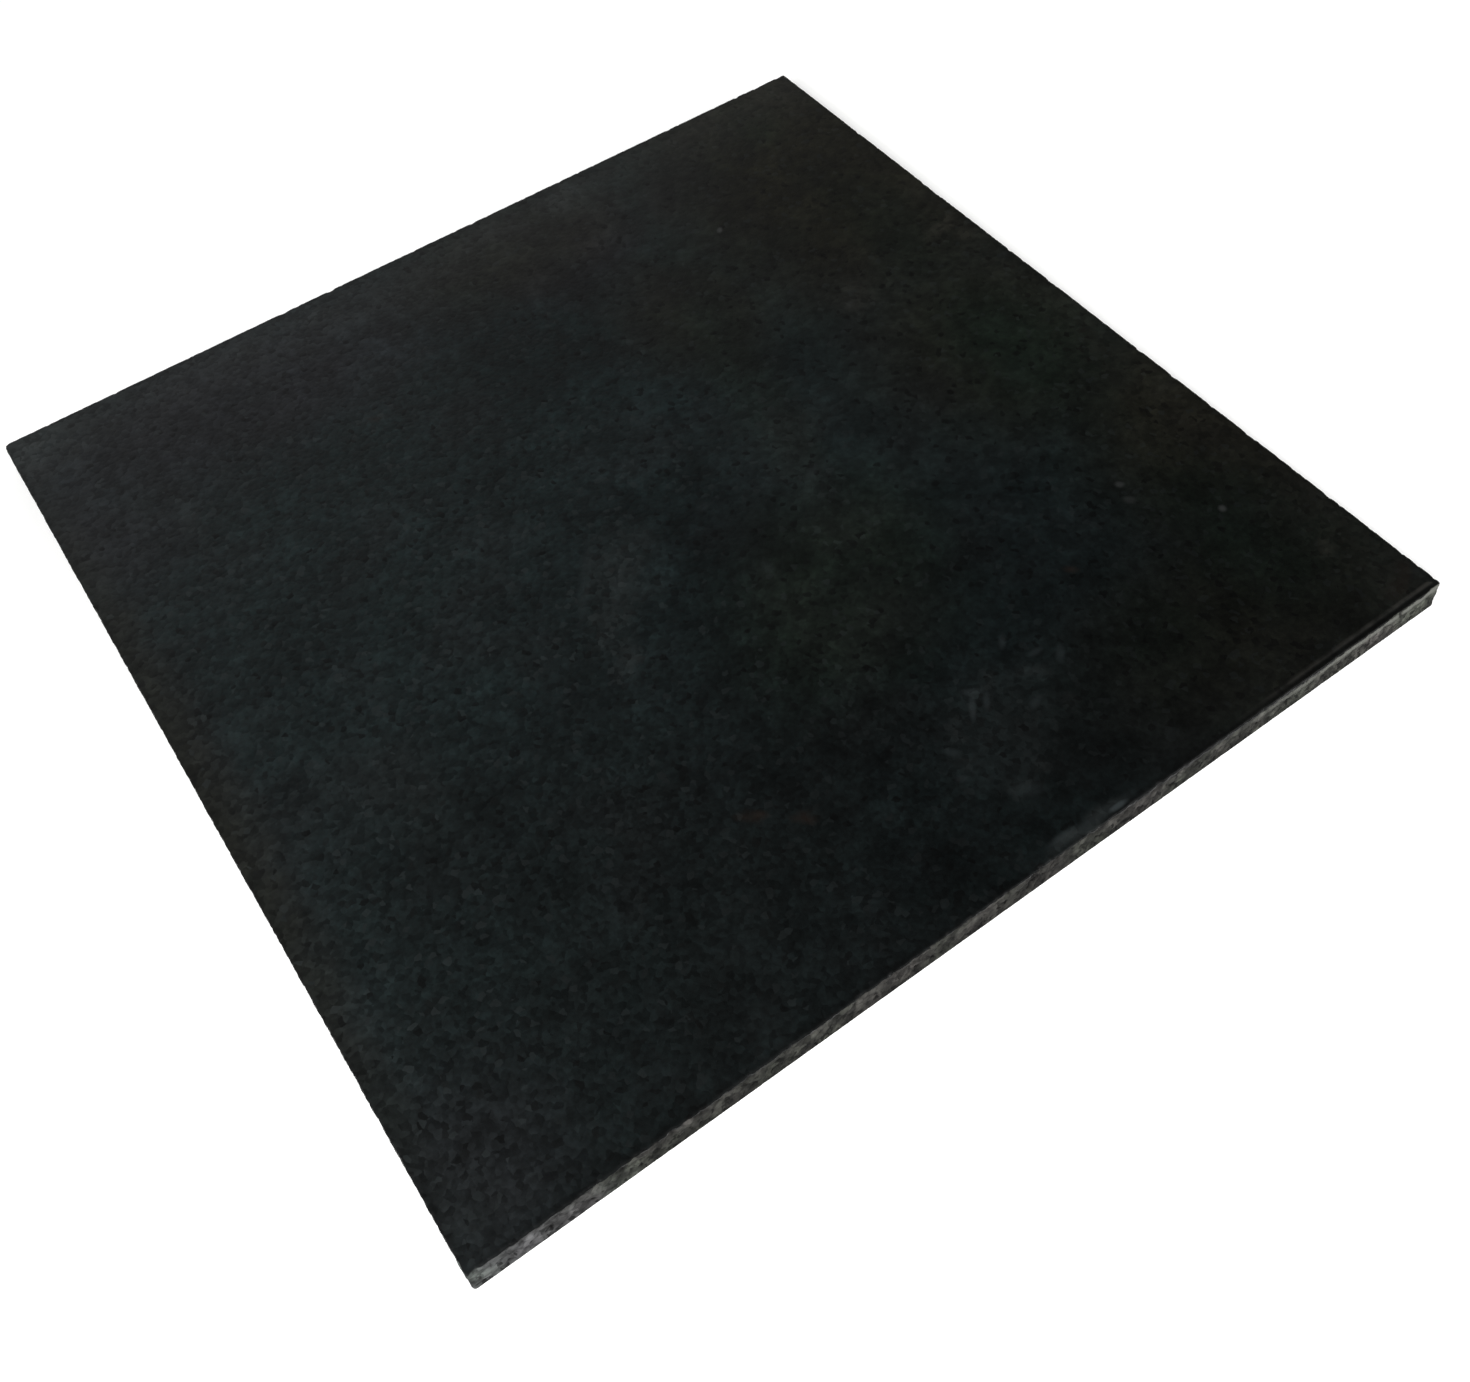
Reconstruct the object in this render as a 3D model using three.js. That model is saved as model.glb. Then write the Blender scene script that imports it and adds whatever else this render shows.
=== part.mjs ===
import * as THREE from 'three';

// Rubber gym floor tile: one moulded square slab of bonded rubber crumb, lying wear face up.
// Millimetres, +Z up. The origin is the middle of the underside.

// Driving dimensions
const LENGTH = 500; // along X, from side face to side face
const WIDTH = 500; // along Y, from side face to side face
const THICKNESS = 16; // along Z, from the underside to the wear face
const EDGE_RADIUS = 1; // rounding of the upper and lower edges, all the way round
const FACE_CORNER_RADIUS = 0.8; // corners of the flat wear face, seen from above

// Facets of a quarter turn
const EDGE_FACETS = 4;
const CORNER_FACETS = 5;

const blackRubber = new THREE.MeshStandardMaterial({
  name: 'black_rubber',
  color: 0x1b1e1e,
  roughness: 0.8,
  metalness: 0,
});

// Outline of the flat faces: a rectangle about the origin with a small arc at each corner.
function flatFaceOutline() {
  const halfLength = LENGTH / 2 - EDGE_RADIUS;
  const halfWidth = WIDTH / 2 - EDGE_RADIUS;
  const arcX = halfLength - FACE_CORNER_RADIUS;
  const arcY = halfWidth - FACE_CORNER_RADIUS;
  const quarter = Math.PI / 2;
  const outline = new THREE.Shape();
  outline.moveTo(halfLength, -arcY);
  outline.absarc(arcX, arcY, FACE_CORNER_RADIUS, 0, quarter);
  outline.absarc(-arcX, arcY, FACE_CORNER_RADIUS, quarter, 2 * quarter);
  outline.absarc(-arcX, -arcY, FACE_CORNER_RADIUS, 2 * quarter, 3 * quarter);
  outline.absarc(arcX, -arcY, FACE_CORNER_RADIUS, 3 * quarter, 4 * quarter);
  return outline;
}

// The slab grows from its flat faces out to the side faces through the rounded edges.
function tileGeometry() {
  return new THREE.ExtrudeGeometry(flatFaceOutline(), {
    depth: THICKNESS - 2 * EDGE_RADIUS,
    bevelThickness: EDGE_RADIUS,
    bevelSize: EDGE_RADIUS,
    bevelSegments: EDGE_FACETS,
    curveSegments: CORNER_FACETS,
  });
}

const rubberTile = new THREE.Mesh(tileGeometry(), blackRubber);
rubberTile.name = 'rubber_tile';
rubberTile.position.z = EDGE_RADIUS; // the rounded lower edge starts at the floor

const part = new THREE.Group();
part.add(rubberTile);

export default part;
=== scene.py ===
import math

import bmesh
import bpy
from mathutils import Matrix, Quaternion, Vector, noise


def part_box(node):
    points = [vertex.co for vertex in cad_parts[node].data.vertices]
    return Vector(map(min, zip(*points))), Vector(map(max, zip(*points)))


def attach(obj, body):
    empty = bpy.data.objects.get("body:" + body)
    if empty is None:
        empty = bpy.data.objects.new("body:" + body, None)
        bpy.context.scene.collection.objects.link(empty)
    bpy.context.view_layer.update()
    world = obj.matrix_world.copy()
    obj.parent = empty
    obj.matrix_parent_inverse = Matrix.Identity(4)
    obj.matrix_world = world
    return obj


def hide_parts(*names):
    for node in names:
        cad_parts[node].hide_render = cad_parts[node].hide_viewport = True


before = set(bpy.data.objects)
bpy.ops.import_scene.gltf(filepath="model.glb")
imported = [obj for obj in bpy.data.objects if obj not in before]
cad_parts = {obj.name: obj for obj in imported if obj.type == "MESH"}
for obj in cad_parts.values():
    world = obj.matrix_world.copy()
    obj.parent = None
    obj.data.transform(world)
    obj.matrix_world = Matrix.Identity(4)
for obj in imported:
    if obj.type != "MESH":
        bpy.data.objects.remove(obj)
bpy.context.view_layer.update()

# Rubber gym floor tile: one pressed slab of rubber crumb, wear face up.
# Lengths are in metres. The origin is the middle of the underside, and the near side faces -Y.

MM = 0.001

# The photograph's frame, and the camera that fits the slab's outline in it
PHOTO_WIDTH = 1470
PHOTO_HEIGHT = 1382
AIM_PIXEL_X = 722
AIM_PIXEL_Y = 530
FOCAL_LENGTH_PIXELS = 1629.0
SENSOR_WIDTH_MM = 36
CAMERA_PLACE = Vector((-0.2336, -0.4563, 0.6114))
CAMERA_TARGET = Vector((0.0130, -0.0265, 0.0159))
CAMERA_ROLL = math.radians(6.2)

# The floor, and the soft lights: place, width, height and watts
FLOOR_SIDE = 12
FLOOR_WHITE = (0.93, 0.93, 0.92, 1)
FLOOR_ROUGHNESS = 0.9
FLOOR_GLOW = 0.10
SURROUNDING_LIGHT = 0.1
SOFT_LIGHTS = {
    "key": ((-1.15, -0.75, 1.3), 0.9, 0.9, 42),
    "fill": ((1.5, -1.8, 1.7), 1.4, 1.4, 63),
    "far": ((-0.1, 1.9, 1.1), 2.9, 1.1, 12.6),
}

# The slab, as the frame gives it
SLAB_LOW, SLAB_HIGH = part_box("rubber_tile")
SLAB_SIZE = SLAB_HIGH - SLAB_LOW
SLAB_MIDDLE = (SLAB_LOW + SLAB_HIGH) / 2
HALF_SIDE = SLAB_SIZE.x / 2
TOP_HEIGHT = SLAB_HIGH.z

# Its rounding
CORNER_RADIUS = 1.8 * MM
EDGE_RADIUS = 0.8 * MM
CORNER_FACETS = 4
EDGE_FACETS = 3

# How closely an edge or a face has to match what is asked for, to be picked
ALONG_AXIS = 0.999
SAME_LENGTH = 0.02
SAME_HEIGHT = 0.01 * MM
FACES_DOWN = -0.99
NEARLY_A_CELL = 0.9

# How finely the slab's faces are cut before the relief is pressed in
RIM_BAND = 12 * MM
FINE_BAND = 6.5 * MM
FACE_CELL = 3.6 * MM
RIM_CELL = 0.85 * MM
SIDE_ROW = 1.1 * MM
RIM_SPLIT = 3

# The moulded lip: a thin raised line on the upper edge of the near side, with a shallow groove
# behind it, that widens towards the side's right-hand end, as seen from outside
LIP_START = 20 * MM
LIP_FULL = 230 * MM
LIP_WIDTH = 1.2 * MM
GROOVE_WIDTH = 2.8 * MM
GROOVE_DEPTH = 0.45 * MM
CREASE_WIDTH = 1.2 * MM

# The groove's width where the lip begins, as a share, and where its slopes reach its bottom: in widths
# of the lip, and as a share of the way to its inner edge. And the share of the crease that is full.
NARROWEST_GROOVE = 0.4
GROOVE_OUTER_FOOT = 1.8
GROOVE_INNER_FOOT = 0.6
CREASE_CORE = 0.2

# The rest of the relief: how deep each kind is pressed in, and how large its lumps or grains are
WAVE_DEPTH = 0.25 * MM
WAVE_SIZE = 45 * MM
SIDE_LUMP_DEPTH = 0.3 * MM
SIDE_LUMP_SIZE = 11 * MM
SIDE_CRUMB_DEPTH = 0.5 * MM
SIDE_CRUMB_SIZE = 3.4 * MM
SIDE_PORE_DEPTH = 0.7 * MM
SIDE_PORE_SIZE = 3.6 * MM
NICK_DEPTH = 0.4 * MM
NICK_SIZE = 4.2 * MM

# Where it lies, from none of it to all of it: the way in from the upper edge, which is negative
# below it, the way from it on either side, and the height above the floor
FACE_RELIEF_WAY = (1 * MM, 9 * MM)
SIDE_RELIEF_WAY = (1 * MM, -1 * MM)
NICK_WAY = (2.2 * MM, 0.6 * MM)
SIDE_RELIEF_HEIGHT = (0, 2 * MM)

# Marks on the wear face: strength, then millimetres across and along from its middle,
# length, width and the degrees that the length is turned. The rubber's nodes draw the crisp ones,
# the specks and streaks.
SPECKS = (
    (0.24, 136, 154, 7, 4.5, 50),
    (0.16, 179, -120, 5.5, 6.5, 50),
    (0.09, 176, -130, 7, 9, 50),
    (0.20, 206, -160, 6, 5.5, 50),
    (0.06, 156, 60, 8, 5, 40),
)
STREAKS = (
    (0.28, 58, -247, 14, 4, 0),
    (0.06, 45, -246, 60, 7, 0),
    (0.08, 31, -244, 24, 5, 0),
    (0.12, 42, -175, 18, 4.5, 52),
    (0.09, 49, -176, 12, 4.5, 50),
    (0.08, 47, -168, 14, 4.5, 150),
    (0.08, 75, -156, 12, 5, 49),
    (0.07, 83, -169, 11, 5, 0),
    (0.05, 34, -219, 20, 10, 150),
    (0.07, 21, -187, 11, 6, 134),
    (0.07, 16, -199, 8, 5, 159),
    (0.07, 65, -189, 13, 6, 19),
    (0.07, 91, -176, 14, 6, 48),
    (0.05, 78, 239, 20, 6, 95),
    (0.05, 90, 238, 26, 6, 98),
    (0.04, 123, 163, 20, 6, 159),
    (0.04, -57, -15, 74, 8, 54),
    (0.04, -46, -26, 44, 7, 52),
    (0.05, 14, -9, 11, 7, 12),
    (0.05, 17, -58, 12, 8, 78),
    (0.05, 69, -23, 14, 7, 35),
)
SCUFFS = (
    (0.6, -38, -16, 80, 46, 50),
    (0.6, -36, -21, 44, 20, 50),
    (0.8, -63, -62, 34, 16, 60),
    (0.5, -56, -38, 60, 30, 50),
    (0.4, -190, 140, 50, 16, 75),
    (0.3, 48, -190, 100, 80, 40),
    (0.6, 31, -177, 28, 12, 55),
    (0.5, 22, -194, 22, 12, 110),
    (0.6, 52, -170, 32, 12, 20),
    (0.6, 73, -178, 24, 12, 130),
    (0.5, 78, -200, 18, 12, 60),
    (0.5, 34, -217, 20, 14, 30),
    (0.6, 47, -212, 16, 12, 120),
    (0.9, 38, -247, 70, 14, 0),
    (0.9, 234, 78, 34, 14, 20),
    (0.5, 240, 64, 20, 18, 90),
    (0.5, 162, 62, 44, 30, 40),
    (0.6, 226, -205, 18, 9, 50),
    (0.3, 213, -99, 18, 10, 30),
    (0.6, 80, 232, 34, 30, 20),
    (0.3, 31, 232, 60, 22, 0),
    (0.3, -60, 222, 90, 24, 10),
    (0.7, -240, 240, 60, 60, 20),
    (0.5, -79, 236, 40, 18, 0),
    (0.6, 83, 240, 36, 16, 0),
    (0.25, 70, 15, 130, 100, 0),
    (0.16, 40, -88, 120, 80, 40),
    (0.25, -177, -60, 60, 90, 0),
)
# Dark blotches: some are the rubber's own darker tone, and some are painted shade where the light falls off
DARK_BLOTCHES_AND_PAINTED_SHADE = (
    (1.0, 16, -34, 84, 90, 20),
    (0.5, 100, -4, 80, 36, 130),
    (0.3, 104, -88, 80, 60, 20),
    (0.4, -208, -240, 110, 40, 0),
    (0.4, 168, -28, 110, 70, 0),
    (0.8, 52, -194, 24, 20, 10),
    (0.5, -40, -170, 130, 60, 20),
    (0.5, 20, -225, 220, 60, 0),
    (0.35, 20, 145, 280, 130, 0),
)
RUST_SPOTS = (
    (1.0, -86, 146, 12, 8, 20),
    (0.9, -65, -159, 9, 7, 0),
    (1.0, -47, -173, 8, 6, 60),
    (0.7, 127, -146, 9, 6, 30),
    (0.3, 238, -238, 40, 12, 20),
)

# Zones where the black leans to another hue, given in the same way
BROWN_ZONES = (
    (1.0, 215, 150, 320, 380, 0),
    (0.8, 200, 0, 220, 240, 0),
    (1.0, 240, -130, 200, 300, 0),
    (0.9, 175, -215, 260, 160, 0),
    (0.7, 90, 110, 130, 160, 0),
    (0.7, 40, 215, 220, 120, 0),
    (0.8, -254, 0, 60, 600, 0),
)
GREEN_ZONES = (
    (1.0, 36, -88, 215, 150, 40),
    (1.0, 206, -20, 110, 160, 0),
    (1.0, 208, -180, 120, 150, 0),
    (0.6, 135, -195, 90, 70, 0),
    (0.45, 215, 100, 70, 150, 0),
    (0.5, 205, 222, 60, 70, 0),
    (0.5, 78, 30, 50, 260, -10),
)
PURPLE_ZONES = (
    (0.8, -140, 205, 400, 150, 0),
    (0.7, -235, 150, 120, 140, 0),
    (0.9, 58, 192, 140, 100, 0),
    (0.6, 132, 192, 70, 90, 0),
    (0.5, 165, 85, 70, 100, 0),
    (0.6, -232, -222, 130, 130, 0),
    (0.5, -250, 0, 60, 600, 0),
)

# The soft marks and the zones, which are noted on the slab's vertices, by the name of their note
NOTED_MARKS = {
    "scuffed": SCUFFS,
    "blotched_and_painted_shade": DARK_BLOTCHES_AND_PAINTED_SHADE,
    "rusty": RUST_SPOTS,
    "brown": BROWN_ZONES,
    "green": GREEN_ZONES,
    "purple": PURPLE_ZONES,
}

# How far their outlines stray, and over what length, and the seed that makes each run's outlines the same
OUTLINE_STRAYS_BY = 5 * MM
OUTLINE_STRAYS_OVER = 11 * MM
OUTLINE_SEED = 1

# An oval mark is at none of its strength at its rim, and at all of it from this share of the way out
OVAL_RIM = 1.0
OVAL_MIDDLE = 0.2


# Modelling helpers


def deselect_everything():
    """Leaves edit mode, and nothing selected."""
    if bpy.context.object and bpy.context.object.mode != "OBJECT":
        bpy.ops.object.mode_set(mode="OBJECT")
    bpy.ops.object.select_all(action="DESELECT")


def pick_edges(piece, wanted):
    """In edit mode, selects the edges whose two ends pass the test."""
    bpy.ops.mesh.select_mode(type="EDGE")
    bpy.ops.mesh.select_all(action="DESELECT")
    shape = bmesh.from_edit_mesh(piece.data)
    for edge in shape.edges:
        if wanted(edge.verts[0].co, edge.verts[1].co):
            edge.select_set(True)
    bmesh.update_edit_mesh(piece.data)


def pick_faces(piece, wanted):
    """In edit mode, selects the faces whose middle and normal pass the test."""
    bpy.ops.mesh.select_mode(type="FACE")
    bpy.ops.mesh.select_all(action="DESELECT")
    shape = bmesh.from_edit_mesh(piece.data)
    for face in shape.faces:
        if wanted(face.calc_center_median(), face.normal):
            face.select_set(True)
    bmesh.update_edit_mesh(piece.data)


def runs_along(axis, start, end):
    """Whether an edge runs along axis 0, 1 or 2."""
    step = end - start
    return abs(step[axis]) > ALONG_AXIS * step.length


def cut_long_edges(piece, axis, length, cell, lowest=-1.0):
    """Cuts the edges of about one length along an axis, above a height, into cells of one size."""

    def wanted(start, end):
        if min(start.z, end.z) < lowest:
            return False
        off_by = abs((end - start).length - length)
        return runs_along(axis, start, end) and off_by < SAME_LENGTH * length

    pick_edges(piece, wanted)
    bpy.ops.mesh.subdivide(number_cuts=round(length / cell) - 1)


def slice_slab(axis, place):
    """Cuts all the faces along the plane at one place on an axis."""
    point = Vector((0, 0, 0))
    point[axis] = place
    normal = Vector((0, 0, 0))
    normal[axis] = 1
    bpy.ops.mesh.select_all(action="SELECT")
    bpy.ops.mesh.bisect(plane_co=point, plane_no=normal)


# The slab's mesh


def rounded_block():
    """A block of the slab's size, its upright corners and its upper and lower edges rounded."""
    deselect_everything()
    bpy.ops.mesh.primitive_cube_add(size=1, location=SLAB_MIDDLE, scale=SLAB_SIZE)
    block = bpy.context.object
    block.name = "crumb_rubber_slab"
    block.data.name = "crumb_rubber_slab"
    bpy.ops.object.transform_apply(location=True, rotation=True, scale=True)
    bpy.ops.object.mode_set(mode="EDIT")
    pick_edges(block, lambda start, end: runs_along(2, start, end))
    bpy.ops.mesh.bevel(offset=CORNER_RADIUS, segments=CORNER_FACETS, affect="EDGES")
    pick_edges(block, lambda start, end: abs(start.z - end.z) < SAME_HEIGHT)
    bpy.ops.mesh.bevel(offset=EDGE_RADIUS, segments=EDGE_FACETS, affect="EDGES")
    bpy.ops.object.mode_set(mode="OBJECT")
    return block


def cut_for_relief(block):
    """Cuts the faces into small cells, finest along the upper rim and down the sides."""
    bpy.ops.object.mode_set(mode="EDIT")
    for inset in (CORNER_RADIUS, RIM_BAND):
        for axis in (0, 1):
            slice_slab(axis, HALF_SIDE - inset)
            slice_slab(axis, inset - HALF_SIDE)
    for axis in (0, 1):
        slice_slab(axis, 0)
        cut_long_edges(block, axis, HALF_SIDE - RIM_BAND, FACE_CELL)
        cut_long_edges(block, axis, RIM_BAND - CORNER_RADIUS, RIM_CELL, lowest=TOP_HEIGHT / 2)
    cut_long_edges(block, 2, SLAB_SIZE.z - 2 * EDGE_RADIUS, SIDE_ROW)
    for axis, across in ((0, 1), (1, 0)):

        def along_the_rim(start, end):
            outer = min(abs(start[across]), abs(end[across])) > HALF_SIDE - FINE_BAND
            uncut = (end - start).length > FACE_CELL * NEARLY_A_CELL
            return outer and uncut and runs_along(axis, start, end)

        pick_edges(block, along_the_rim)
        bpy.ops.mesh.subdivide(number_cuts=RIM_SPLIT)

    def hidden_middle(centre, normal):
        return normal.z < FACES_DOWN and max(abs(centre.x), abs(centre.y)) < HALF_SIDE - RIM_BAND

    pick_faces(block, hidden_middle)
    bpy.ops.mesh.dissolve_faces()
    bpy.ops.object.mode_set(mode="OBJECT")


def surface_way(place):
    """How far a point lies in from the upper edge, or, as a negative number, below it on a side."""
    inset = HALF_SIDE - max(abs(place.x), abs(place.y))
    return inset - (TOP_HEIGHT - place.z)


def ramp(value, start, end):
    """Rises smoothly from 0 at start to 1 at end; end may be below start."""
    share = min(max((value - start) / (end - start), 0), 1)
    return share * share * (3 - 2 * share)


def lip_share(place):
    """How much of the lip stands at a point: 0 to 1 along the near side towards its right-hand end."""
    if -place.y < abs(place.x):
        return 0
    return ramp(place.x, LIP_START, LIP_FULL)


def groove_inner_edge(place):
    """How far in from the upper edge the groove ends."""
    widened = NARROWEST_GROOVE + (1 - NARROWEST_GROOVE) * lip_share(place)
    return LIP_WIDTH + GROOVE_WIDTH * widened


def groove_share(place):
    """How much of the groove behind the lip is at a point of the wear face."""
    way = surface_way(place)
    if way <= LIP_WIDTH:
        return 0
    inner_edge = groove_inner_edge(place)
    outer_slope = ramp(way, LIP_WIDTH, GROOVE_OUTER_FOOT * LIP_WIDTH)
    inner_slope = ramp(way, inner_edge, GROOVE_INNER_FOOT * inner_edge)
    return lip_share(place) * outer_slope * inner_slope


def crease_share(place):
    """How near a point is to the crease along the groove's inner edge, where a highlight is painted."""
    from_crease = abs(surface_way(place) - groove_inner_edge(place))
    return lip_share(place) * ramp(from_crease, CREASE_WIDTH, CREASE_CORE * CREASE_WIDTH)


def wear_face_share(place):
    """How much of the wear face's relief is at a point: none of it close to the upper edge."""
    return ramp(surface_way(place), *FACE_RELIEF_WAY)


def side_share(place):
    """How much of the sides' relief is at a point: none of it on the wear face and at the foot."""
    return ramp(surface_way(place), *SIDE_RELIEF_WAY) * ramp(place.z, *SIDE_RELIEF_HEIGHT)


def upper_edge_share(place):
    """How near a point is to the upper edge."""
    return ramp(abs(surface_way(place)), *NICK_WAY)


def weigh(block, name, share_at):
    """A vertex group whose weight comes from each vertex's place."""
    group = block.vertex_groups.new(name=name)
    for vertex in block.data.vertices:
        weight = share_at(vertex.co)
        if weight > 0:
            group.add([vertex.index], weight, "REPLACE")


def press_in(block, name, group, depth, texture=None):
    """Presses a texture's relief into the surface by up to depth, never out of it."""
    relief = block.modifiers.new(name, "DISPLACE")
    if texture:
        relief.texture = texture
        relief.texture_coords = "LOCAL"
    relief.vertex_group = group
    relief.strength = -depth
    relief.mid_level = 0
    bpy.context.view_layer.objects.active = block
    bpy.ops.object.modifier_apply(modifier=name)


def relief_texture(name, kind, size, contrast, brightness):
    """A texture with values from 0 to 1."""
    texture = bpy.data.textures.new(name, kind)
    texture.noise_scale = size
    texture.contrast = contrast
    texture.intensity = brightness
    texture.use_clamp = True
    return texture


def grain_texture(name, size, contrast=1.0, brightness=1.0):
    """Rounded grains with grooves between them: 0 at a grain's middle, 1 in a groove."""
    texture = relief_texture(name, "VORONOI", size, contrast, brightness)
    texture.distance_metric = "DISTANCE"
    return texture


def cloud_texture(name, size, octaves=1, contrast=1.0, brightness=1.0):
    """Soft lumps; a high contrast and a low brightness leave only scattered pits."""
    texture = relief_texture(name, "CLOUDS", size, contrast, brightness)
    texture.noise_depth = octaves
    texture.noise_type = "SOFT_NOISE"
    return texture


def press_relief(block):
    """The lip's groove, the face's waves, the sides' crumb and pores, and the upper edge's nicks."""
    weigh(block, "groove", groove_share)
    weigh(block, "sides", side_share)
    weigh(block, "upper_edge", upper_edge_share)
    weigh(block, "wear_face", wear_face_share)
    waves = cloud_texture("waves", WAVE_SIZE, octaves=2)
    side_lumps = cloud_texture("side_lumps", SIDE_LUMP_SIZE, octaves=2)
    side_crumb = grain_texture("side_crumb", SIDE_CRUMB_SIZE, contrast=2.0, brightness=0.75)
    side_pores = cloud_texture("side_pores", SIDE_PORE_SIZE, contrast=5.0, brightness=0.0)
    edge_nicks = cloud_texture("edge_nicks", NICK_SIZE, contrast=5.0, brightness=0.05)
    press_in(block, "groove", "groove", GROOVE_DEPTH)
    press_in(block, "waves", "wear_face", WAVE_DEPTH, waves)
    press_in(block, "side_lumps", "sides", SIDE_LUMP_DEPTH, side_lumps)
    press_in(block, "side_crumb", "sides", SIDE_CRUMB_DEPTH, side_crumb)
    press_in(block, "side_pores", "sides", SIDE_PORE_DEPTH, side_pores)
    press_in(block, "edge_nicks", "upper_edge", NICK_DEPTH, edge_nicks)


def oval(place, across, along, length, width, turn):
    """How much of an oval mark, given in millimetres and degrees, is at a point: 0 to 1."""
    offset = Vector((place.x / MM - across, place.y / MM - along, 0))
    offset.rotate(Quaternion((0, 0, 1), -math.radians(turn)))
    reach = math.hypot(2 * offset.x / length, 2 * offset.y / width)
    return ramp(reach, OVAL_RIM, OVAL_MIDDLE)


def strongest_mark(place, marks):
    """The strongest of a list of marks at a point of the wear face, their outlines made ragged."""
    if surface_way(place) < 0:
        return 0
    strayed = place + OUTLINE_STRAYS_BY * noise.noise_vector(place / OUTLINE_STRAYS_OVER)
    return max(strength * oval(strayed, *shape) for strength, *shape in marks)


def note_on_vertices(block, name, places, value_at):
    """Keeps a number on each vertex, worked out from its place, for the material to read."""
    notes = block.data.attributes.new(name, "FLOAT", "POINT")
    for note, place in zip(notes.data, places):
        note.value = value_at(place)


def note_relief_depth(block, smooth_places):
    """Keeps on each vertex how many millimetres the relief has moved it."""
    notes = block.data.attributes.new("pressed_mm", "FLOAT", "POINT")
    for note, vertex, smooth in zip(notes.data, block.data.vertices, smooth_places):
        note.value = (vertex.co - smooth).length / MM


def crumb_rubber_slab():
    """The whole slab, with its relief, and with what its material reads noted on its vertices."""
    block = rounded_block()
    cut_for_relief(block)
    smooth_places = [vertex.co.copy() for vertex in block.data.vertices]
    press_relief(block)
    block.vertex_groups.clear()
    note_relief_depth(block, smooth_places)
    note_on_vertices(block, "lip", smooth_places, lip_share)
    note_on_vertices(block, "groove", smooth_places, groove_share)
    note_on_vertices(block, "crease", smooth_places, crease_share)
    noise.seed_set(OUTLINE_SEED)
    for name, marks in NOTED_MARKS.items():
        note_on_vertices(block, name, smooth_places, lambda place: strongest_mark(place, marks))
    bpy.ops.object.shade_smooth()
    return block


# Material helpers


def grey(level):
    return (level, level, level, 1)


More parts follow.
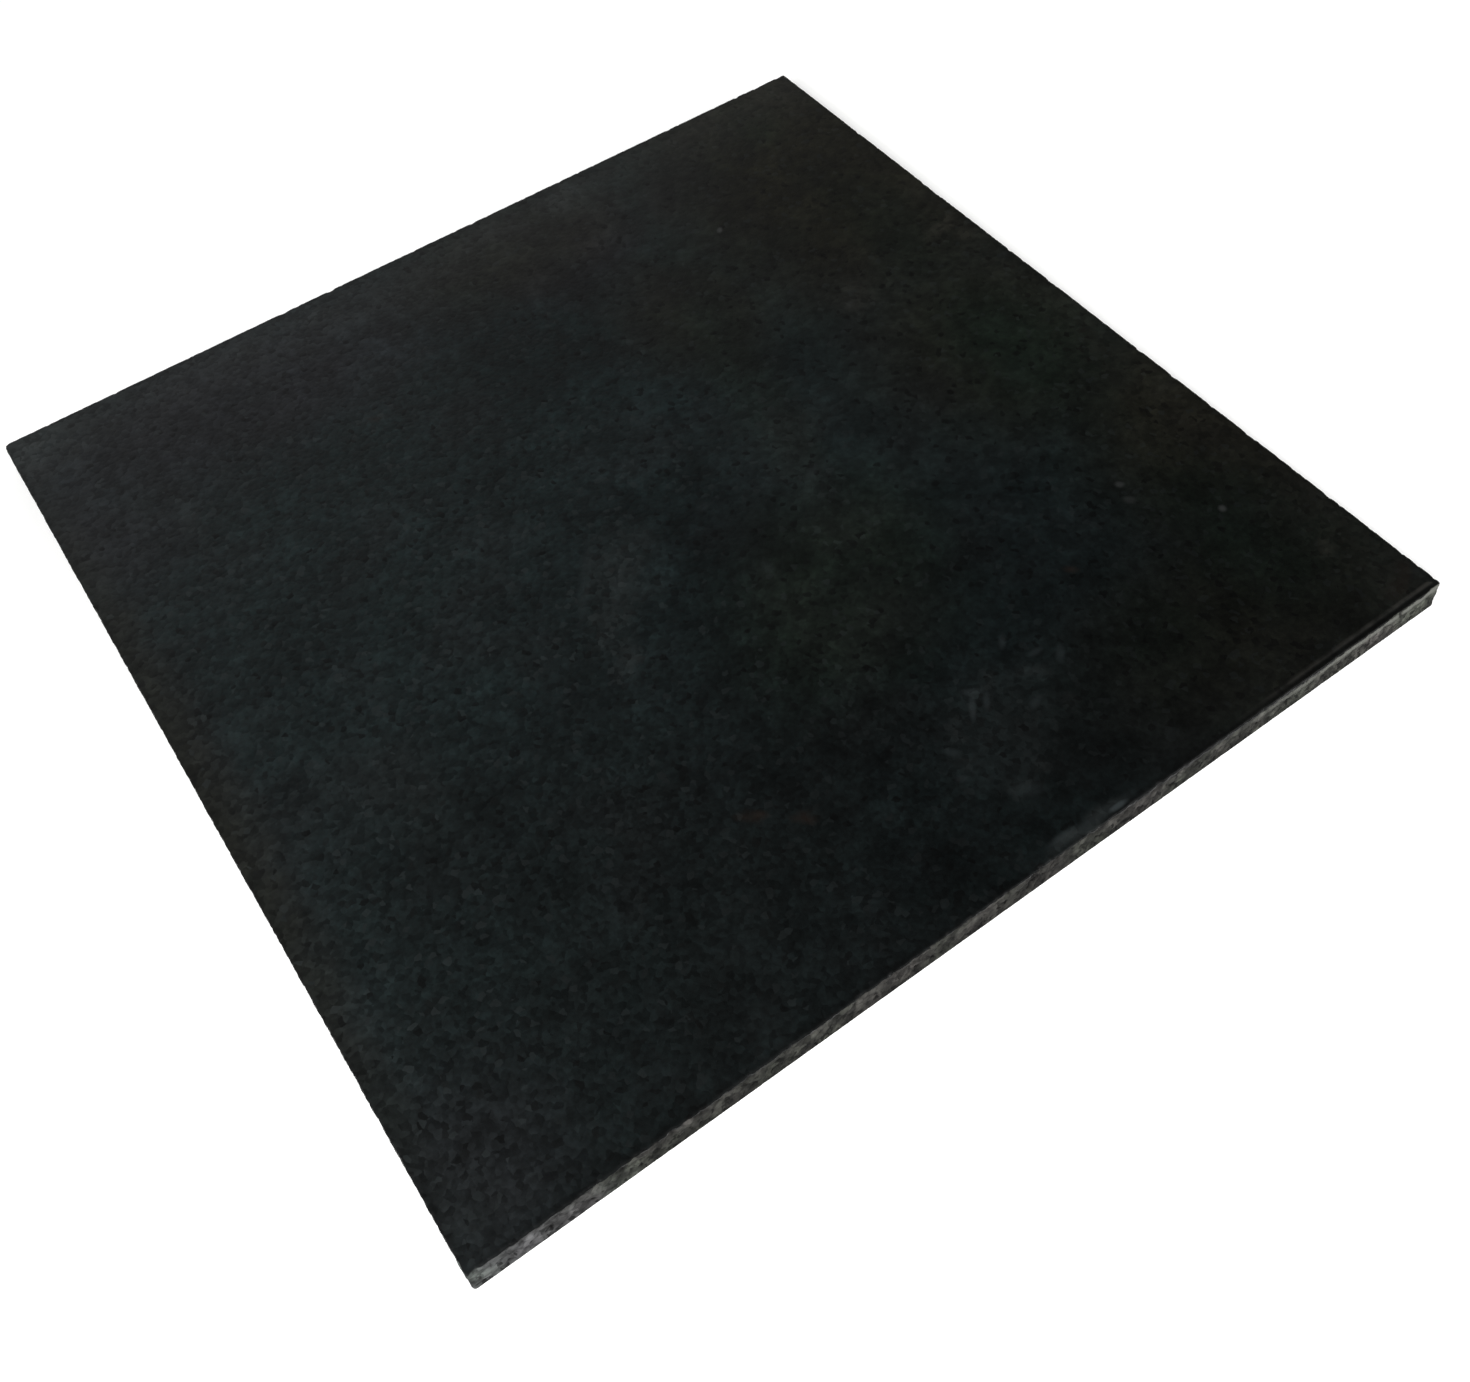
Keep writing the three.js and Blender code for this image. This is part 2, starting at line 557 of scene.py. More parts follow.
class NodeSheet:
    """A material's nodes: each method adds one or a few of them and gives their output."""

    def __init__(self, name):
        self.material = bpy.data.materials.new(name)
        self.material.use_nodes = True
        self.tree = self.material.node_tree
        self.shader = self.tree.nodes["Principled BSDF"]
        coordinates = self.tree.nodes.new("ShaderNodeTexCoord")
        self.place = coordinates.outputs["Object"]

    def feed(self, socket, value):
        """Links an output into a socket, or sets the socket to a plain value."""
        if isinstance(value, bpy.types.NodeSocket):
            self.tree.links.new(value, socket)
        elif value is not None:
            socket.default_value = value

    def math(self, operation, first, second=None, third=None):
        node = self.tree.nodes.new("ShaderNodeMath")
        node.operation = operation
        for socket, value in zip(node.inputs, (first, second, third)):
            self.feed(socket, value)
        return node.outputs[0]

    def sum(self, first, *others):
        for value in others:
            first = self.math("ADD", first, value)
        return first

    def product(self, first, *others):
        for value in others:
            first = self.math("MULTIPLY", first, value)
        return first

    def opposite(self, share):
        """1 where a share is 0, and 0 where it is 1."""
        return self.math("SUBTRACT", 1.0, share)

    def vector(self, operation, first, second=None, output="Vector"):
        node = self.tree.nodes.new("ShaderNodeVectorMath")
        node.operation = operation
        self.feed(node.inputs[0], first)
        self.feed(node.inputs[1], second)
        return node.outputs[output]

    def axes(self, vector):
        """A vector's or a colour's three numbers."""
        node = self.tree.nodes.new("ShaderNodeSeparateXYZ")
        self.feed(node.inputs[0], vector)
        return node.outputs

    def noted(self, name):
        """A number kept on the piece's vertices."""
        node = self.tree.nodes.new("ShaderNodeAttribute")
        node.attribute_name = name
        return node.outputs["Fac"]

    def noise(self, size, detail=2.0, output="Fac", where=None):
        node = self.tree.nodes.new("ShaderNodeTexNoise")
        self.feed(node.inputs["Vector"], self.place if where is None else where)
        node.inputs["Scale"].default_value = 1 / size
        node.inputs["Detail"].default_value = detail
        return node.outputs[output]

    def cells(self, size, where):
        """Random cells: Color holds each one's own random numbers, and Distance the way from its middle."""
        node = self.tree.nodes.new("ShaderNodeTexVoronoi")
        self.feed(node.inputs["Vector"], where)
        node.inputs["Scale"].default_value = 1 / size
        return node.outputs

    def spread(self, value, low, high, to_low=0.0, to_high=1.0):
        """Turns the range from low to high into another one, smoothly, and holds it past its ends."""
        node = self.tree.nodes.new("ShaderNodeMapRange")
        node.interpolation_type = "SMOOTHSTEP"
        for socket, number in zip(node.inputs, (value, low, high, to_low, to_high)):
            self.feed(socket, number)
        return node.outputs[0]

    def between(self, share, first, second):
        """A number that goes from first to second as the share goes from 0 to 1."""
        node = self.tree.nodes.new("ShaderNodeMix")
        for socket, value in zip((node.inputs[0], node.inputs[2], node.inputs[3]), (share, first, second)):
            self.feed(socket, value)
        return node.outputs[0]

    def mix(self, share, first, second, blend="MIX"):
        """A colour that goes from first to second as the share goes from 0 to 1."""
        node = self.tree.nodes.new("ShaderNodeMix")
        node.data_type = "RGBA"
        node.blend_type = blend
        colours = [socket for socket in node.inputs if socket.type == "RGBA"]
        self.feed(node.inputs[0], share)
        self.feed(colours[0], first)
        self.feed(colours[1], second)
        return next(socket for socket in node.outputs if socket.type == "RGBA")

    def tint(self, colour, cast):
        """Multiplies a colour by another."""
        return self.mix(1.0, colour, cast, "MULTIPLY")

    def dim(self, colour, share, least, most):
        """Multiplies a colour by a grey that goes from least to most as the share goes from 0 to 1."""
        return self.tint(colour, self.mix(share, grey(least), grey(most)))

    def darken(self, colour, share, shade):
        """Leaves a colour as it is where the share is 0, and multiplies it by the shade where it is 1."""
        return self.dim(colour, share, 1.0, shade)

    def bump(self, height, distance, under=None):
        """A normal bent by a height from 0 to 1, which stands for a distance."""
        node = self.tree.nodes.new("ShaderNodeBump")
        self.feed(node.inputs["Height"], height)
        node.inputs["Distance"].default_value = distance
        node.inputs["Strength"].default_value = BUMP_STRENGTH
        if under:
            self.feed(node.inputs["Normal"], under)
        return node.outputs[0]

    def mark(self, strength, across, along, length, width, turn):
        """A crisp oval mark on the wear face, in millimetres and degrees."""
        node = self.tree.nodes.new("ShaderNodeMapping")
        node.vector_type = "TEXTURE"
        self.feed(node.inputs["Vector"], self.place)
        node.inputs["Location"].default_value = (across * MM, along * MM, TOP_HEIGHT)
        node.inputs["Rotation"].default_value = (0, 0, math.radians(turn))
        node.inputs["Scale"].default_value = (length / 2 * MM, width / 2 * MM, width * MM)
        reach = self.vector("LENGTH", node.outputs[0], output="Value")
        return self.spread(reach, OVAL_RIM, OVAL_MIDDLE, 0.0, strength)

    def marks(self, list_of_marks):
        """All the marks of a list in one mask."""
        mask = 0.0
        for mark in list_of_marks:
            mask = self.math("MAXIMUM", mask, self.mark(*mark))
        return mask


# The rubber's colours, as shares of full white
BLUE_BLACK = (0.0030, 0.0055, 0.0057, 1)
BROWN_BLACK = (0.0050, 0.0050, 0.0031, 1)
GREEN_BLACK = (0.0029, 0.0051, 0.0034, 1)
PURPLE_BLACK = (0.0054, 0.0055, 0.0066, 1)
MAUVE_BLACK = (0.0058, 0.0052, 0.0056, 1)
TEAL_BLACK = (0.0026, 0.0059, 0.0055, 1)
RUST_BROWN = (0.011, 0.0065, 0.0045, 1)
SPECK_GREY = (0.07, 0.073, 0.073, 1)
STREAK_GREY = (0.060, 0.073, 0.077, 1)
CRUMB_GREY = (0.0148, 0.0182, 0.0186, 1)
# A painted highlight on the crease along the groove's inner edge
CREASE_HIGHLIGHT = (0.019, 0.0182, 0.0160, 1)
# Pale greys that the face is mixed towards: dust in the scuffs, and painted light over the left half
DUST_AND_PAINTED_LIGHT_GREY = (0.0305, 0.034, 0.0335, 1)
DUST_AND_PAINTED_LIGHT_BROWN = (0.034, 0.0325, 0.026, 1)
SIDE_WARM = (0.0275, 0.0272, 0.0240, 1)
# Painted shade: the warm grey darker, for low down on the sides
SIDE_WARM_PAINTED_SHADE = (0.0200, 0.0197, 0.0172, 1)
SIDE_PALE = (0.070, 0.074, 0.072, 1)
# Painted shade: the pale grey darker, for low down on the sides
SIDE_PALE_PAINTED_SHADE = (0.055, 0.057, 0.056, 1)
# The painted highlight line along the lip
LIP_HIGHLIGHT_GREY = (0.125, 0.127, 0.114, 1)
PURPLE_CAST = (1.03, 0.98, 1.04, 1)
GREEN_CAST = (0.96, 1.025, 0.97, 1)

# Sizes in its patterns, and how far its crumbs stray from plain cells
FACE_CRUMB = 2.7 * MM
BARE_CRUMB = 3.6 * MM
BARE_PORE = 2.6 * MM
BARE_LUMP = 8 * MM
GRIT = 2.2 * MM
BLOTCH = 6 * MM
CREASE_HIGHLIGHT_PATCH = 9 * MM
PATCH = 20 * MM
HUE = 28 * MM
TINT = 45 * MM
CLOUD = 60 * MM
CRUMB_SWIRL = 3 * MM
CRUMB_STRAYS_BY = 2.2 * MM

# How tall crumbs, pores and lumps stand on the sides: a smaller share of the height makes them taller
TALL_CRUMB = (1, 1, 0.75)
TALL_LUMP = (1, 1, 0.4)

# Noise detail: 2 is the usual, and these are softer
SOFT = 1.0
FAIRLY_SOFT = 1.5

# The stretch of a noise's or a cell's values that makes up a pattern, and the value that changes nothing
NARROW_STRETCH = (0.35, 0.65)
STRETCH = (0.3, 0.7)
WIDE_STRETCH = (0.25, 0.75)
UPPER_STRETCH = (0.45, 0.75)
DOME_STRETCH = (0.35, 0.75)
PORE_STRETCH = (0.58, 0.64)
EVEN = 0.5

# How far each pattern dims and brightens the colour
CLOUD_RANGE = (0.8, 1.2)
PATCH_RANGE = (0.55, 1.45)
BLOTCH_RANGE = (0.70, 1.30)
CRUMB_RANGE = (0.50, 1.50)
GRIT_RANGE = (0.70, 1.30)
BARE_CRUMB_RANGE = (0.5, 1.55)
BARE_LUMP_RANGE = (0.6, 1.4)
# Painted light on the crumbs' domes and painted shade between them
PAINTED_DOME_LIGHT_AND_SHADE = (1.15, 0.65)
BARE_GRIT_RANGE = (0.85, 1.15)
# The painted highlight along the lip
LIP_HIGHLIGHT_RANGE = (1.0, 1.9)

# What each darkening leaves of the colour: the darkest crumbs keep their own tone, and all the rest is
# painted shade, though the blotches are partly the rubber's own dark tone
DARK_CRUMB_SHADE = 0.4
NEAR_PAINTED_SHADE = 0.47
BLOTCH_AND_PAINTED_SHADE = 0.5
RIM_PAINTED_SHADE = 0.8
NEAR_RIM_PAINTED_SHADE = 0.5
# Painted shade in the groove behind the lip
GROOVE_PAINTED_SHADE = 0.6
PORE_PAINTED_SHADE = 0.25
PIT_PAINTED_SHADE = 0.2

# How much of a mark, a tint or a dust shows at its strongest
MAUVE_SHARE = 0.25
TEAL_SHARE = 0.15
SCUFF_DUST = 0.32
RUST_SHARE = 0.7
CALM_SHARE = 0.35

# The share of the dust and painted light that the darkest crumbs take, while the brightest take it all
DARKEST_CRUMB_DUST_AND_PAINTED_LIGHT = 0.3

# Ramps across the wear face, in metres from its middle to the right: from, to, and the values there,
# where they aren't 0 and 1
PATCHY_ACROSS = (-160 * MM, -10 * MM, 0.35, 0.7)
LESS_PATCHY_AT_RIGHT = (60 * MM, 160 * MM, 0.0, -0.2)
CRISP_ACROSS = (-120 * MM, 150 * MM, 0.84, 0.48)
# Where the near stretch's painted shade reaches across
PAINTED_SHADE_ACROSS = (-245 * MM, -140 * MM)
# Painted light: paler over the left half, where the light falls
PAINTED_LIGHT_OVER_LEFT_HALF = (20 * MM, -120 * MM, 0.0, 0.06)
PALER_BY_LEFT_EDGE = (-180 * MM, -HALF_SIDE, 0.0, 0.08)
PALER_BY_RIGHT_EDGE = (195 * MM, HALF_SIDE, 0.0, 0.1)
BROWNER_DUST_AND_PAINTED_LIGHT = (60 * MM, 200 * MM)
SHORT_OF_CORNER = (247 * MM, 236 * MM)
RELIEF_ACROSS = (-120 * MM, 150 * MM, 0.33, 0.14)

# Ramps along it, in metres from its middle towards the far side
MORE_PATCHY_FAR_OFF = (60 * MM, 200 * MM, 0.0, 0.3)
CRISP_ALONG = (-170 * MM, -20 * MM, 1.0, 0.72)
# Where the near stretch's painted shade reaches along
PAINTED_SHADE_ALONG = (-20 * MM, -180 * MM)
PALER_BY_FAR_EDGE = (195 * MM, HALF_SIDE, 0.0, 0.22)
# Where the painted shade along the near rim sets in
PAINTED_SHADE_BY_NEAR_SIDE = (-200 * MM, -240 * MM)

# Its rim's painted shade, as the way in from the upper edge, and how far it strays
RIM = (1.5 * MM, 6.5 * MM)
RIM_STRAYS_BY = 3 * MM

# The crumbs that are near-black or pale, by their random number
DARKEST_CRUMBS = (0.94, 0.96)
PALEST_CRUMBS = (0.06, 0.04, 0.0, 0.5)

# Ramps over the sides, in metres from the corner or up from the floor, and how far they stray
PALE_BY_CORNER = (105 * MM, 35 * MM)
PALE_STRAYS_BY = 60 * MM
PALE_STRAYS_OVER = 35 * MM
# Where the sides' painted shade low down fades into their lit grey
PAINTED_SHADE_FADES_UPWARDS = (7.5 * MM, 13.5 * MM)
HEIGHT_STRAYS_BY = 5 * MM
HEIGHT_STRAYS_OVER = 6 * MM
MORE_PORES_LOW_DOWN = (13 * MM, 7 * MM, 0.4, 1.0)

# Where the lip begins, has the painted highlight on its crease, has its painted highlight line and is full,
# by how much of it stands
LIP_BEGINS = (0.0, 0.3)
CREASE_HIGHLIGHT_ALONG_LIP = (0.3, 0.9)
LIP_HIGHLIGHT_LINED = (0.35, 1.0)
LIP_IS_FULL = (0.7, 1.0)

# The face's dark skin reaches this far down over the upper edge where the lip begins. It draws back
# where the lip is full, and by the corners, which are bare from here on, in metres from a side's middle.
SKIN_DROP = 1.2 * MM
SKIN_DRAWS_BACK = 1.4
BARE_CORNER = (HALF_SIDE - 15 * MM, HALF_SIDE - 4 * MM)
SKIN_BORDER = (-1.0 * MM, -0.2 * MM)
SKIN_STRAYS_BY = 4 * MM
SKIN_STRAYS_OVER = 4.5 * MM

# The painted highlight line along the lip: its upper and lower borders, as the way from the skin's border
HIGHLIGHT_LINE_TOP = (-0.4 * MM, -1.2 * MM)
HIGHLIGHT_LINE_FOOT = (-5.2 * MM, -3.0 * MM)

# Heights that belong to the underside, and depths of relief, in millimetres, that get painted shade as pits
UNDERSIDE = (0.6 * MM, 0.1 * MM)
PIT_DEPTHS = (0.45, 1.1)

# Gloss and bump
DULL = 0.1
SMOOTHEST = 0.32
PATCHES_ROUGHEN = 0.2
GRIT_ROUGHENS = 0.1
BARE_ROUGHNESS = 0.95
BARE_RELIEF = 1.0
GRIT_HEIGHT = 0.3 * MM
DOME_HEIGHT = 0.5 * MM
BUMP_STRENGTH = 0.8


class RubberSheet(NodeSheet):
    """The rubber's nodes, with the places, notes and patterns that several of its layers read."""

    def __init__(self):
        super().__init__("black_crumb_rubber")
        self.across, self.along, self.up = self.axes(self.place)
        aside = self.math("ABSOLUTE", self.across)
        ahead = self.math("ABSOLUTE", self.along)
        inset = self.math("SUBTRACT", HALF_SIDE, self.math("MAXIMUM", aside, ahead))
        self.way = self.math("SUBTRACT", inset, self.math("SUBTRACT", TOP_HEIGHT, self.up))
        self.from_side_middle = self.math("MINIMUM", aside, ahead)
        self.lip = self.noted("lip")
        self.grit = self.noise(GRIT, FAIRLY_SOFT)
        self.patches = self.noise(PATCH)
        self.skin_way = self.way_from_skin()
        self.on_face = self.face_share()

        swirl = self.noise(CRUMB_SWIRL, SOFT, output="Color")
        stray = self.vector("MULTIPLY", swirl, (CRUMB_STRAYS_BY, CRUMB_STRAYS_BY, CRUMB_STRAYS_BY))
        strayed_place = self.vector("ADD", self.place, stray)
        self.tall_place = self.vector("MULTIPLY", strayed_place, TALL_CRUMB)
        face_cells = self.cells(FACE_CRUMB, strayed_place)
        bare_cells = self.cells(BARE_CRUMB, self.tall_place)
        self.crumb = self.axes(face_cells["Color"])
        self.crumb_dome = face_cells["Distance"]
        self.bare_crumb = self.axes(bare_cells["Color"])
        self.bare_dome = bare_cells["Distance"]

    def way_from_skin(self):
        """How far in from the border of the face's dark skin a point lies, or below it, if negative."""
        full_lip = self.product(self.spread(self.lip, *LIP_IS_FULL), SKIN_DRAWS_BACK)
        drawn_back = self.sum(full_lip, self.spread(self.from_side_middle, *BARE_CORNER))
        drop = self.math("SUBTRACT", self.spread(self.lip, *LIP_BEGINS), drawn_back)
        return self.math("MULTIPLY_ADD", drop, SKIN_DROP, self.way)

    def face_share(self):
        """1 on the wear face and the underside, 0 on the sides, with a ragged border between them."""
        stray = self.math("SUBTRACT", self.noise(SKIN_STRAYS_OVER, SOFT), EVEN)
        strayed_way = self.sum(self.skin_way, self.product(stray, SKIN_STRAYS_BY))
        wear_face = self.spread(strayed_way, *SKIN_BORDER)
        return self.math("MAXIMUM", wear_face, self.spread(self.up, *UNDERSIDE))


# The wear face


def zoned_black(sheet):
    """Blue-black that leans to purple, brown or green by zone, with faint mauve and teal tints."""
    tints = sheet.axes(sheet.noise(TINT, output="Color"))
    mauve = sheet.spread(tints[0], *UPPER_STRETCH, 0.0, MAUVE_SHARE)
    teal = sheet.spread(tints[1], *UPPER_STRETCH, 0.0, TEAL_SHARE)
    colour = sheet.mix(sheet.noted("purple"), BLUE_BLACK, PURPLE_BLACK)
    colour = sheet.mix(sheet.noted("brown"), colour, BROWN_BLACK)
    colour = sheet.mix(sheet.noted("green"), colour, GREEN_BLACK)
    colour = sheet.mix(mauve, colour, MAUVE_BLACK)
    return sheet.mix(teal, colour, TEAL_BLACK)


def add_clouds(sheet, colour):
    """Large clouds, patches that are strongest in the middle and far off, and small blotches."""
    clouds = sheet.spread(sheet.noise(CLOUD), *STRETCH)
    blotches = sheet.spread(sheet.noise(BLOTCH, FAIRLY_SOFT), *WIDE_STRETCH)
    patchy = sheet.sum(
        sheet.spread(sheet.across, *PATCHY_ACROSS),
        sheet.spread(sheet.along, *MORE_PATCHY_FAR_OFF),
        sheet.spread(sheet.across, *LESS_PATCHY_AT_RIGHT),
    )
    patches = sheet.between(patchy, EVEN, sheet.spread(sheet.patches, *WIDE_STRETCH))
    colour = sheet.dim(colour, clouds, *CLOUD_RANGE)
    colour = sheet.dim(colour, patches, *PATCH_RANGE)
    return sheet.dim(colour, blotches, *BLOTCH_RANGE)


def add_crumb(sheet, colour):
    """Crumbs and grit, crispest at the near left, with a few near-black and a few pale crumbs."""
    crisp = sheet.product(
        sheet.spread(sheet.across, *CRISP_ACROSS),
        sheet.spread(sheet.along, *CRISP_ALONG),
    )
    grit = sheet.spread(sheet.grit, *STRETCH)
    palest = sheet.product(sheet.spread(sheet.crumb[1], *PALEST_CRUMBS), crisp)
    colour = sheet.dim(colour, sheet.between(crisp, EVEN, sheet.crumb[0]), *CRUMB_RANGE)
    colour = sheet.dim(colour, sheet.between(crisp, EVEN, grit), *GRIT_RANGE)
    colour = sheet.darken(colour, sheet.spread(sheet.crumb[1], *DARKEST_CRUMBS), DARK_CRUMB_SHADE)
    return sheet.mix(palest, colour, CRUMB_GREY)


def add_painted_light_shade_and_dust(sheet, colour):
    """Painted shade over the near stretch, dark blotches that are partly painted shade, painted light over
    the left half, paler edges, dust in the scuffs, and rusty spots.
    """
    # Painted shade: the near stretch darker, where the light falls off towards the near side
    near_painted_shade = sheet.product(
        sheet.spread(sheet.along, *PAINTED_SHADE_ALONG),
        sheet.spread(sheet.across, *PAINTED_SHADE_ACROSS),
    )
    # Painted light over the left half, paler edges, and dust in the scuffs
    dust_and_painted_light = sheet.sum(
        sheet.spread(sheet.across, *PAINTED_LIGHT_OVER_LEFT_HALF),
        sheet.spread(sheet.across, *PALER_BY_LEFT_EDGE),
        sheet.spread(sheet.across, *PALER_BY_RIGHT_EDGE),
        sheet.spread(sheet.along, *PALER_BY_FAR_EDGE),
        sheet.product(sheet.noted("scuffed"), SCUFF_DUST),
    )
    uneven = sheet.between(sheet.crumb[0], DARKEST_CRUMB_DUST_AND_PAINTED_LIGHT, 1.0)
    dust_and_painted_light_colour = sheet.mix(sheet.spread(sheet.across, *BROWNER_DUST_AND_PAINTED_LIGHT), DUST_AND_PAINTED_LIGHT_GREY, DUST_AND_PAINTED_LIGHT_BROWN)
    colour = sheet.darken(colour, near_painted_shade, NEAR_PAINTED_SHADE)
    # Dark blotches, partly painted shade
    colour = sheet.darken(colour, sheet.noted("blotched_and_painted_shade"), BLOTCH_AND_PAINTED_SHADE)
    colour = sheet.mix(sheet.product(dust_and_painted_light, uneven), colour, dust_and_painted_light_colour)
    return sheet.mix(sheet.product(sheet.noted("rusty"), RUST_SHARE), colour, RUST_BROWN)


def add_rim_painted_shade_and_highlight(sheet, colour):
    """Painted shade along the rim, darkest by the near side, and there painted shade in the groove and a
    painted highlight on its crease.
    """
    rim = sheet.spread(sheet.math("MULTIPLY_ADD", sheet.patches, RIM_STRAYS_BY, sheet.way), *RIM)
    short_of_corner = sheet.spread(sheet.across, *SHORT_OF_CORNER)
    near_rim_painted_shade = sheet.product(
        sheet.opposite(rim),
        sheet.spread(sheet.along, *PAINTED_SHADE_BY_NEAR_SIDE),
        sheet.opposite(sheet.noted("scuffed")),
        short_of_corner,
    )
    groove = sheet.product(sheet.noted("groove"), short_of_corner)
    # A painted highlight on the crease, broken into patches
    crease = sheet.product(
        sheet.spread(sheet.noise(CREASE_HIGHLIGHT_PATCH), *NARROW_STRETCH, 0.15, 0.75),
        sheet.spread(sheet.lip, *CREASE_HIGHLIGHT_ALONG_LIP),
        sheet.noted("crease"),
    )
    # Painted shade along the rim, and darker along the near rim
    colour = sheet.dim(colour, rim, RIM_PAINTED_SHADE, 1.0)
    colour = sheet.darken(colour, near_rim_painted_shade, NEAR_RIM_PAINTED_SHADE)
    # Painted shade in the groove behind the lip
    colour = sheet.darken(colour, groove, GROOVE_PAINTED_SHADE)
    return sheet.mix(crease, colour, CREASE_HIGHLIGHT)


def wear_face_colour(sheet):
    """The wear face, from its black up to the pale streaks and specks that lie on top."""
    colour = zoned_black(sheet)
    colour = add_clouds(sheet, colour)
    colour = add_crumb(sheet, colour)
    colour = add_painted_light_shade_and_dust(sheet, colour)
    colour = add_rim_painted_shade_and_highlight(sheet, colour)
    colour = sheet.mix(sheet.marks(STREAKS), colour, STREAK_GREY)
    return sheet.mix(sheet.marks(SPECKS), colour, SPECK_GREY)


# The sides


def pale_share(sheet):
    """How pale a side is: by its corners, except where the lip stands."""
    from_corner = sheet.math("SUBTRACT", HALF_SIDE, sheet.from_side_middle)
    stray = sheet.product(sheet.noise(PALE_STRAYS_OVER), PALE_STRAYS_BY)
    by_corner = sheet.spread(sheet.sum(from_corner, stray), *PALE_BY_CORNER)
    return sheet.product(by_corner, sheet.spread(sheet.lip, *LIP_BEGINS, 1.0, 0.0))


def bare_rubber(sheet, pale):
    """Warm or pale grey, with painted shade low down that fades upwards, and a faint purple or green cast.
    """
    upper = sheet.mix(pale, SIDE_WARM, SIDE_PALE)
    # Painted shade low down
    lower = sheet.mix(pale, SIDE_WARM_PAINTED_SHADE, SIDE_PALE_PAINTED_SHADE)
    height = sheet.sum(sheet.up, sheet.product(sheet.noise(HEIGHT_STRAYS_OVER), HEIGHT_STRAYS_BY))
    colour = sheet.mix(sheet.spread(height, *PAINTED_SHADE_FADES_UPWARDS), lower, upper)
    cast = sheet.mix(sheet.spread(sheet.noise(HUE), *NARROW_STRETCH), PURPLE_CAST, GREEN_CAST)
    return sheet.tint(colour, cast)


def add_bare_crumb(sheet, colour, pale):
    """Standing crumbs with painted light on their domes and painted shade between them, lumps, grit, and
    pores darkened with painted shade, calmer where the side is pale.
    """
    calm = sheet.product(pale, CALM_SHARE)
    lump_place = sheet.vector("MULTIPLY", sheet.place, TALL_LUMP)
    lumps = sheet.spread(sheet.noise(BARE_LUMP, SOFT, where=lump_place), *STRETCH)
    # Pores darkened with painted shade
    painted_pore_shade = sheet.product(
        sheet.spread(sheet.noise(BARE_PORE, SOFT, where=sheet.tall_place), *PORE_STRETCH),
        sheet.spread(sheet.up, *MORE_PORES_LOW_DOWN),
    )
    colour = sheet.dim(colour, sheet.between(calm, sheet.bare_crumb[0], EVEN), *BARE_CRUMB_RANGE)
    colour = sheet.dim(colour, sheet.between(calm, lumps, EVEN), *BARE_LUMP_RANGE)
    colour = sheet.dim(colour, sheet.spread(sheet.bare_dome, *DOME_STRETCH), *PAINTED_DOME_LIGHT_AND_SHADE)
    colour = sheet.dim(colour, sheet.spread(sheet.grit, *STRETCH), *BARE_GRIT_RANGE)
    return sheet.darken(colour, painted_pore_shade, PORE_PAINTED_SHADE)


def add_lip_highlight(sheet, colour):
    """A painted highlight along the lip, with a brighter painted highlight line under the edge where it
    stands well.
    """
    highlight_line = sheet.product(
        sheet.spread(sheet.lip, *LIP_HIGHLIGHT_LINED),
        sheet.spread(sheet.skin_way, *HIGHLIGHT_LINE_TOP),
        sheet.spread(sheet.skin_way, *HIGHLIGHT_LINE_FOOT),
    )
    colour = sheet.dim(colour, sheet.lip, *LIP_HIGHLIGHT_RANGE)
    return sheet.mix(highlight_line, colour, LIP_HIGHLIGHT_GREY)


def side_colour(sheet):
    """The sides' bare crumb, from its grey up."""
    pale = pale_share(sheet)
    colour = bare_rubber(sheet, pale)
    colour = add_bare_crumb(sheet, colour, pale)
    return add_lip_highlight(sheet, colour)


# The whole material


def rubber_roughness(sheet):
    """Fairly smooth on the face, rougher by patch and grit, and dry on the sides."""
    by_patch = sheet.math("MULTIPLY_ADD", sheet.patches, PATCHES_ROUGHEN, SMOOTHEST)
    by_grit = sheet.math("MULTIPLY_ADD", sheet.grit, GRIT_ROUGHENS, by_patch)
    return sheet.between(sheet.on_face, BARE_ROUGHNESS, by_grit)


def rubber_bump(sheet):
    """Domed crumbs over fine grit: strong on the sides, faint on the face, faintest at its right."""
    relief = sheet.between(sheet.on_face, BARE_RELIEF, sheet.spread(sheet.across, *RELIEF_ACROSS))
    dome = sheet.between(sheet.on_face, sheet.bare_dome, sheet.crumb_dome)
    fine = sheet.bump(sheet.product(sheet.grit, relief), GRIT_HEIGHT)
    return sheet.bump(sheet.product(dome, relief, -1.0), DOME_HEIGHT, fine)


def black_crumb_rubber():
    """Near-black bonded crumb: fine and scuffed on the wear face, greyer bare crumb on the sides."""
    sheet = RubberSheet()
    # Painted shade in the pressed-in pits, by their depth
    painted_pit_shade = sheet.spread(sheet.noted("pressed_mm"), *PIT_DEPTHS)
    colour = sheet.mix(sheet.on_face, side_colour(sheet), wear_face_colour(sheet))
    sheet.feed(sheet.shader.inputs["Base Color"], sheet.darken(colour, painted_pit_shade, PIT_PAINTED_SHADE))
    sheet.feed(sheet.shader.inputs["Roughness"], rubber_roughness(sheet))
    sheet.feed(sheet.shader.inputs["Normal"], rubber_bump(sheet))
    sheet.shader.inputs["Specular IOR Level"].default_value = DULL
    return sheet.material


def pale_floor():
    """A pale table, lit a little from inside, so that the slab's soft shadows fade out."""
    sheet = NodeSheet("pale_floor")
    sheet.shader.inputs["Base Color"].default_value = FLOOR_WHITE
    sheet.shader.inputs["Roughness"].default_value = FLOOR_ROUGHNESS
    sheet.shader.inputs["Specular IOR Level"].default_value = DULL
    sheet.shader.inputs["Emission Color"].default_value = grey(1)
    sheet.shader.inputs["Emission Strength"].default_value = FLOOR_GLOW
    return sheet.material


# Stage, light and camera


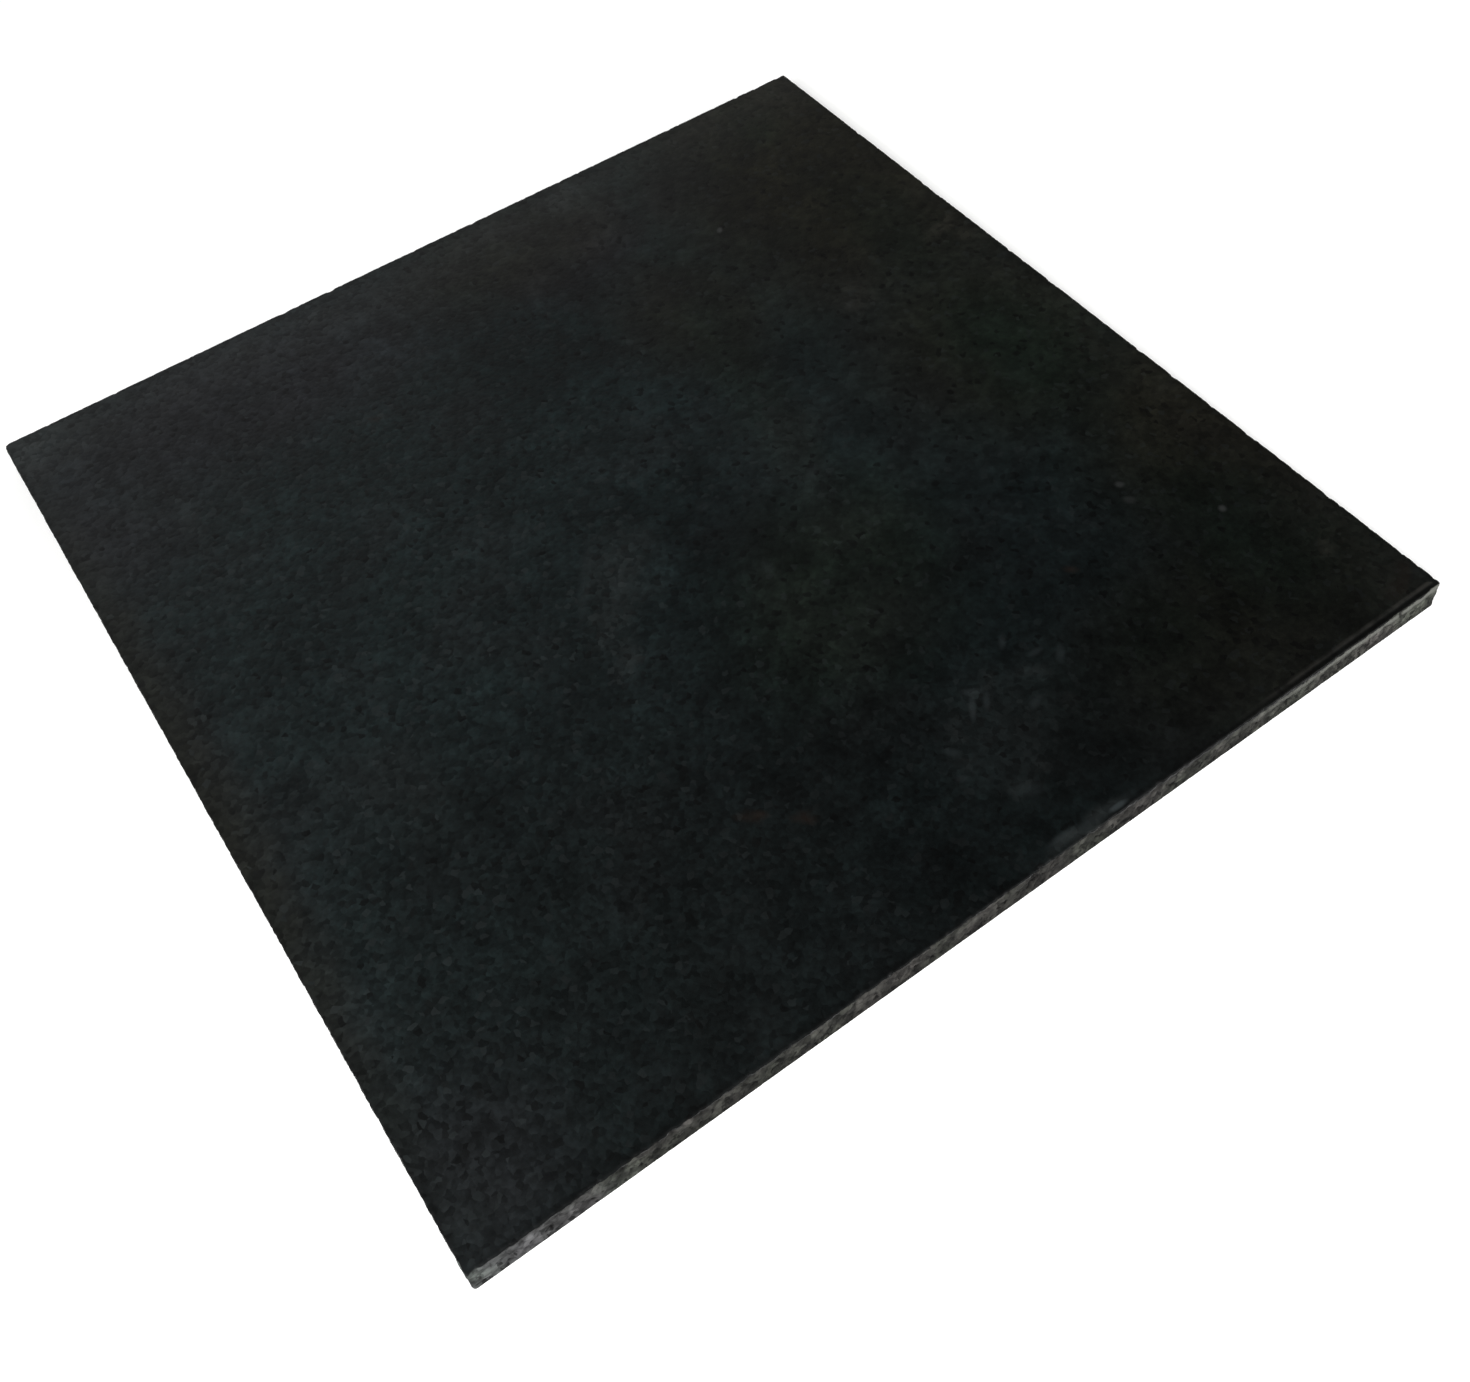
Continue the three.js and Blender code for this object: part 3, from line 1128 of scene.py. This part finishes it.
def lay_floor():
    deselect_everything()
    bpy.ops.mesh.primitive_plane_add(size=FLOOR_SIDE, location=(0, 0, 0))
    floor = bpy.context.object
    floor.name = "floor"
    floor.data.materials.append(pale_floor())


def soft_light(name, place, width, height, watts):
    """A rectangular soft light that points at the middle of the wear face."""
    lamp = bpy.data.lights.new(name, "AREA")
    lamp.shape = "RECTANGLE"
    lamp.size = width
    lamp.size_y = height
    lamp.energy = watts
    light = bpy.data.objects.new(name, lamp)
    bpy.context.collection.objects.link(light)
    light.location = place
    light.rotation_mode = "QUATERNION"
    light.rotation_quaternion = (Vector((0, 0, TOP_HEIGHT)) - Vector(place)).to_track_quat("-Z", "Y")


def light_studio():
    """Dim surroundings, a key light to the left, a fill to the right and a wide light at the back."""
    world = bpy.data.worlds.new("pale_studio")
    world.use_nodes = True
    surroundings = world.node_tree.nodes["Background"]
    surroundings.inputs["Color"].default_value = grey(1)
    surroundings.inputs["Strength"].default_value = SURROUNDING_LIGHT
    bpy.context.scene.world = world
    for name, (place, width, height, watts) in SOFT_LIGHTS.items():
        soft_light(name, place, width, height, watts)


def set_camera():
    """The photograph's camera: its lens, its place and its slight roll."""
    camera = bpy.data.cameras.new("camera")
    camera.sensor_width = SENSOR_WIDTH_MM
    camera.lens = FOCAL_LENGTH_PIXELS / PHOTO_WIDTH * SENSOR_WIDTH_MM
    camera.shift_x = (PHOTO_WIDTH / 2 - AIM_PIXEL_X) / PHOTO_WIDTH
    camera.shift_y = (AIM_PIXEL_Y - PHOTO_HEIGHT / 2) / PHOTO_WIDTH
    camera.clip_start = 0.01
    camera.clip_end = 50
    holder = bpy.data.objects.new("camera", camera)
    bpy.context.collection.objects.link(holder)
    holder.location = CAMERA_PLACE
    holder.rotation_mode = "QUATERNION"
    level = (CAMERA_TARGET - CAMERA_PLACE).to_track_quat("-Z", "Y")
    holder.rotation_quaternion = level @ Quaternion((0, 0, 1), -CAMERA_ROLL)
    bpy.context.scene.camera = holder


# The whole scene

slab = crumb_rubber_slab()
slab.data.materials.append(black_crumb_rubber())
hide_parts("rubber_tile")
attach(slab, "root")

lay_floor()
light_studio()
set_camera()
view = bpy.context.scene.view_settings
view.view_transform = "Standard"
view.look = "None"
